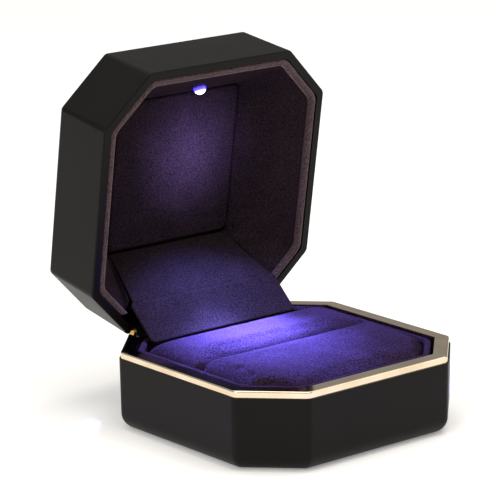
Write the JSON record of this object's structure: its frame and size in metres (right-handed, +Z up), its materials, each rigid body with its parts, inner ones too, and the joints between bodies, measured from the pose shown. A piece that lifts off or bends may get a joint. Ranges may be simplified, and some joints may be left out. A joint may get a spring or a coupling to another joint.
{
  "type": "ring box",
  "caption": "Eight-sided hinged ring box with a lamp in the lid, padded ring slot, folding lining flap and a plated trim ring.",
  "frame": {"origin": "centre of the base's flat underside", "axes": "+X across the box to the right when the opening is faced, +Y from the front to the hinge, +Z up; the lid is at rest fully open"},
  "size_m": [0.066, 0.0824, 0.0843],
  "materials": {
    "shell_plastic": "satin soft-touch black",
    "trim_plating": "polished pale gold plating",
    "lining_velour": "dark short-pile velour",
    "cushion_velour": "dark short-pile velour",
    "foam": "open-cell cushion foam",
    "inner_plastic": "glossy moulded black",
    "spring_steel": "pressed and plated steel",
    "pin_brass": "polished",
    "lamp_epoxy": "clear domed epoxy, lit",
    "cell_steel": "bright nickel-plated steel",
    "contact_brass": "spring brass strip",
    "board_laminate": "green solder-masked glass laminate",
    "plunger_plastic": "natural moulded nylon",
    "lead_red": "PVC sleeve",
    "lead_black": "PVC sleeve"
  },
  "bodies": {
    "base": {"base_shell": "shell_plastic", "trim_ring": "trim_plating", "cushion_tray": "lining_velour", "hinge_bay_cover": "inner_plastic", "front_cushion_foam": "foam", "front_cushion_cover": "cushion_velour", "rear_cushion_foam": "foam", "rear_cushion_cover": "cushion_velour", "base_hinge_leaf": "spring_steel", "hinge_pin": "pin_brass", "hinge_spring": "spring_steel", "base_hinge_screws": "spring_steel"},
    "lid": {"lid_shell": "shell_plastic", "lid_lining": "lining_velour", "ceiling_panel": "lining_velour", "flap_upper_board": "lining_velour", "lid_hinge_leaf": "spring_steel", "lid_hinge_screws": "spring_steel", "led": "lamp_epoxy", "led_holder": "inner_plastic", "lead_positive": "lead_red", "lead_negative": "lead_black", "battery_case": "inner_plastic", "button_cells": "cell_steel", "battery_contacts": "contact_brass", "circuit_board": "board_laminate", "switch_body": "inner_plastic"},
    "flap": {"flap_lower_board": "lining_velour"},
    "plunger": {"switch_plunger": "plunger_plastic"}
  },
  "joints": [
    {"name": "lid_hinge", "type": "hinge", "parent": "base", "child": "lid", "pos_m": [0, 0.03177, 0.01848], "axis": [1, 0, 0], "range_deg": [0, 81]},
    {"name": "flap_crease", "type": "hinge", "parent": "lid", "child": "flap", "pos_m": [0, 0.03035, 0.02582], "axis": [1, 0, 0], "range_deg": [-47.5, 0]},
    {"name": "switch_press", "type": "slide", "parent": "lid", "child": "plunger", "axis": [0, 0.9877, 0.1564], "range_m": [0, 0.001]}
  ],
  "couplings": [
    {"joint": "flap_crease", "follows": "lid_hinge", "ratio": -0.58518},
    {"joint": "switch_press", "follows": "lid_hinge", "m_per_rad": 0.00070735}
  ]
}
